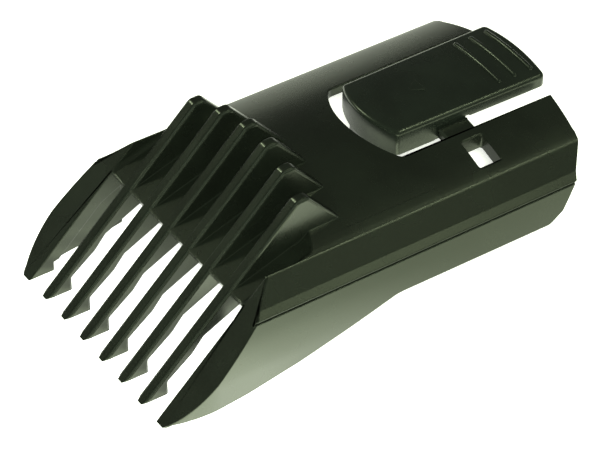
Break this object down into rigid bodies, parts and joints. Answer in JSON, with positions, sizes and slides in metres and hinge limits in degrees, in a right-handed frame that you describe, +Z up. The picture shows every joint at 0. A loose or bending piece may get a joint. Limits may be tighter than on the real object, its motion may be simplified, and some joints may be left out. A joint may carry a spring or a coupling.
{
  "type": "hair clipper guide comb",
  "caption": "Adjustable guide comb for a hair clipper: arched hood with sloping comb teeth, finned backs and a sprung rocking release button.",
  "frame": {"origin": "middle of the footprint, at the height of the tooth feet", "axes": "+Z up with the hood's ridge level, +Y from the tooth tips towards the open rear end, +X to the side that has the length window"},
  "size_m": [0.0514, 0.0844, 0.0303],
  "materials": {
    "hood_plastic": "fine-grained moulded black plastic with glossier rounded edges",
    "tooth_plastic": "smooth moulded black plastic",
    "button_plastic": "fine-grained moulded black plastic, worn smoother on top",
    "grip_plastic": "raised marks polished by the thumb"
  },
  "bodies": {
    "comb_moulding": {"crown_panel": "hood_plastic", "side_wall_left": "hood_plastic", "side_wall_right": "hood_plastic", "outer_tooth_left": "hood_plastic", "outer_tooth_right": "hood_plastic", "window_collar": "hood_plastic", "guide_rail_left": "hood_plastic", "guide_rail_right": "hood_plastic", "torsion_bridge_left": "hood_plastic", "torsion_bridge_right": "hood_plastic", "comb_tooth_1": "tooth_plastic", "comb_tooth_2": "tooth_plastic", "comb_tooth_3": "tooth_plastic", "comb_tooth_4": "tooth_plastic", "comb_tooth_5": "tooth_plastic", "comb_tooth_6": "tooth_plastic", "valley_floor": "tooth_plastic"},
    "release_button": {"button_cap": "button_plastic", "button_skirt": "button_plastic", "button_cross_rib": "button_plastic", "latch_tooth": "button_plastic", "grip_ridges": "grip_plastic", "direction_arrow": "grip_plastic"}
  },
  "joints": [
    {"name": "button_rock", "type": "hinge", "parent": "comb_moulding", "child": "release_button", "pos_m": [0, 0.0229, 0.022], "axis": [-1, 0, 0], "range_deg": [0, 6], "stiffness_Nm_per_rad": 0.6}
  ]
}
